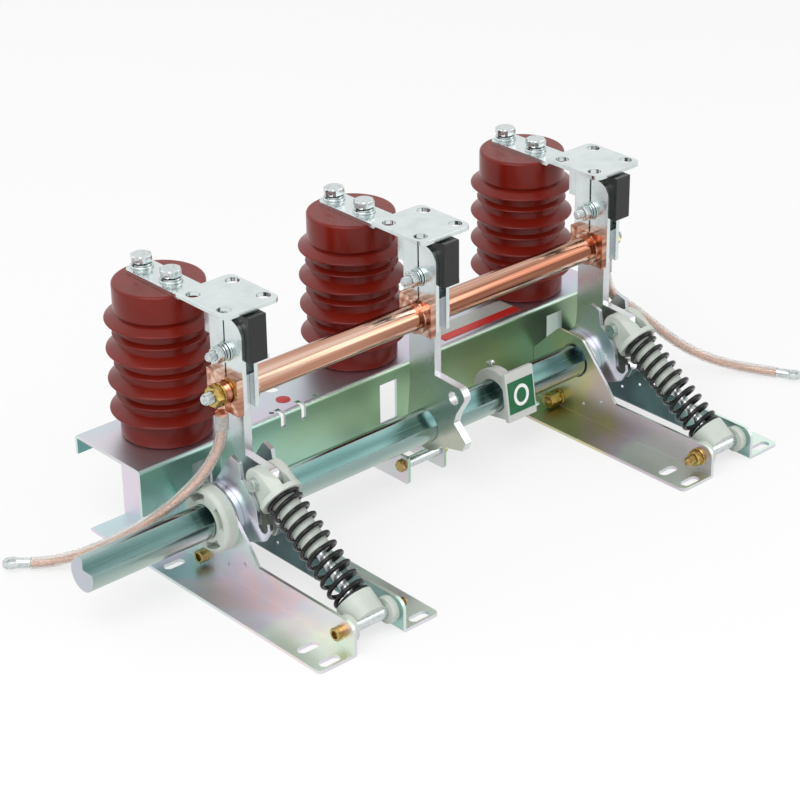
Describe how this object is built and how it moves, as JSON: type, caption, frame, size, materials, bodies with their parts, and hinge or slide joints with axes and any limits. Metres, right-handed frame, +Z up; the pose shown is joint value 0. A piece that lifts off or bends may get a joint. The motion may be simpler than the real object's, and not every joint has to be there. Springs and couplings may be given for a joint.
{
  "type": "earthing switch",
  "caption": "Three-phase indoor earthing switch: linked copper knives on a spring-driven shaft close onto contacts under insulated terminal pads.",
  "frame": {"origin": "on the floor, midway between the four outer foot slots", "axes": "+X along the shaft, away from the drive end; +Y from the knives' open side to the insulators; +Z up"},
  "size_m": [0.7668, 0.318, 0.2451],
  "materials": {
    "sheet_steel": "iridescent zinc passivation",
    "zinc_shaft": "zinc plated, blue-green passivation",
    "zinc_levers": "zinc plated",
    "cast_resin": "brick-red cast epoxy resin, semi-gloss",
    "silvered_copper": "silver-plated copper, satin",
    "copper": "bare polished copper",
    "black_plastic": "moulded black resin",
    "spring_steel": "black coated spring wire",
    "nylon": "off-white nylon",
    "zinc_bolts": "clear zinc plated",
    "yellow_zinc": "yellow zinc plated",
    "grey_plastic": "light grey moulding",
    "braid_sleeve": "clear sleeve over tinned copper braid",
    "lug_copper": "tinned copper"
  },
  "bodies": {
    "frame": {"beam": "sheet_steel", "stop_bracket": "sheet_steel", "stop_sleeve": "zinc_bolts", "stop_bolt": "yellow_zinc", "bracket_left_outer": "sheet_steel", "bracket_left_inner": "sheet_steel", "bracket_right_outer": "sheet_steel", "bracket_right_inner": "sheet_steel", "insulator_left": "cast_resin", "insulator_middle": "cast_resin", "insulator_right": "cast_resin", "insulator_bolts": "zinc_bolts", "terminal_left": "silvered_copper", "terminal_middle": "silvered_copper", "terminal_right": "silvered_copper", "strap_bolts": "zinc_bolts", "strap_washers": "zinc_bolts", "bearing_left": "nylon", "bearing_right": "nylon", "bracket_bolts": "yellow_zinc", "bracket_nuts": "yellow_zinc", "bracket_washers": "yellow_zinc", "pivot_spacers": "nylon", "pivot_sleeves": "zinc_bolts", "earth_lead_left": "braid_sleeve", "earth_lead_right": "braid_sleeve", "lead_rings": "lug_copper"},
    "shaft": {"main_shaft": "zinc_shaft", "levers_left": "zinc_levers", "levers_right": "zinc_levers", "shaft_collars": "zinc_levers", "indicator": "grey_plastic", "indicator_screw": "zinc_bolts"},
    "knife": {"knife_arm_left": "silvered_copper", "knife_arm_middle": "silvered_copper", "knife_arm_right": "silvered_copper", "contact_fingers": "silvered_copper", "shelf_fingers": "silvered_copper", "arc_blocks": "black_plastic", "contact_bolts": "yellow_zinc", "contact_nuts": "zinc_bolts", "contact_discs": "zinc_bolts", "link_clamp_left": "copper", "link_clamp_middle": "copper", "link_clamp_right": "copper", "link_tube_left": "copper", "link_tube_right": "copper", "link_rod": "yellow_zinc", "link_washers": "yellow_zinc", "link_nuts": "yellow_zinc", "spring_pins": "zinc_bolts", "lead_lugs": "lug_copper"},
    "seat_left": {"spring_seat_left": "nylon", "guide_rod_left": "zinc_bolts", "spring_left": "spring_steel"},
    "seat_right": {"spring_seat_right": "nylon", "guide_rod_right": "zinc_bolts", "spring_right": "spring_steel"},
    "fork_left": {"spring_fork_left": "nylon"},
    "fork_right": {"spring_fork_right": "nylon"}
  },
  "joints": [
    {"name": "shaft_turn", "type": "hinge", "parent": "frame", "child": "shaft", "pos_m": [0, 0.064, 0.0565], "axis": [1, 0, 0], "range_deg": [0, 81.5]},
    {"name": "knife_swing", "type": "hinge", "parent": "frame", "child": "knife", "pos_m": [0, 0.064, 0.0565], "axis": [1, 0, 0], "range_deg": [0, 81.5], "deforming": ["earth_lead_left", "earth_lead_right"]},
    {"name": "seat_left_tilt", "type": "hinge", "parent": "frame", "child": "seat_left", "pos_m": [-0.21, -0.0915, 0.017], "axis": [1, 0, 0], "range_deg": [-28.5, 0], "deforming": ["spring_left"]},
    {"name": "fork_left_turn", "type": "hinge", "parent": "knife", "child": "fork_left", "pos_m": [-0.21, 0.0284, 0.0961], "axis": [1, 0, 0], "range_deg": [-110.5, 0]},
    {"name": "seat_right_tilt", "type": "hinge", "parent": "frame", "child": "seat_right", "pos_m": [0.21, -0.0915, 0.017], "axis": [1, 0, 0], "range_deg": [-28.5, 0], "deforming": ["spring_right"]},
    {"name": "fork_right_turn", "type": "hinge", "parent": "knife", "child": "fork_right", "pos_m": [0.21, 0.0284, 0.0961], "axis": [1, 0, 0], "range_deg": [-110.5, 0]}
  ],
  "couplings": [
    {"joint": "knife_swing", "follows": "shaft_turn", "ratio": 1},
    {"joint": "seat_left_tilt", "follows": "shaft_turn", "ratio": -0.346},
    {"joint": "fork_left_turn", "follows": "shaft_turn", "ratio": -1.346},
    {"joint": "seat_right_tilt", "follows": "shaft_turn", "ratio": -0.346},
    {"joint": "fork_right_turn", "follows": "shaft_turn", "ratio": -1.346}
  ]
}
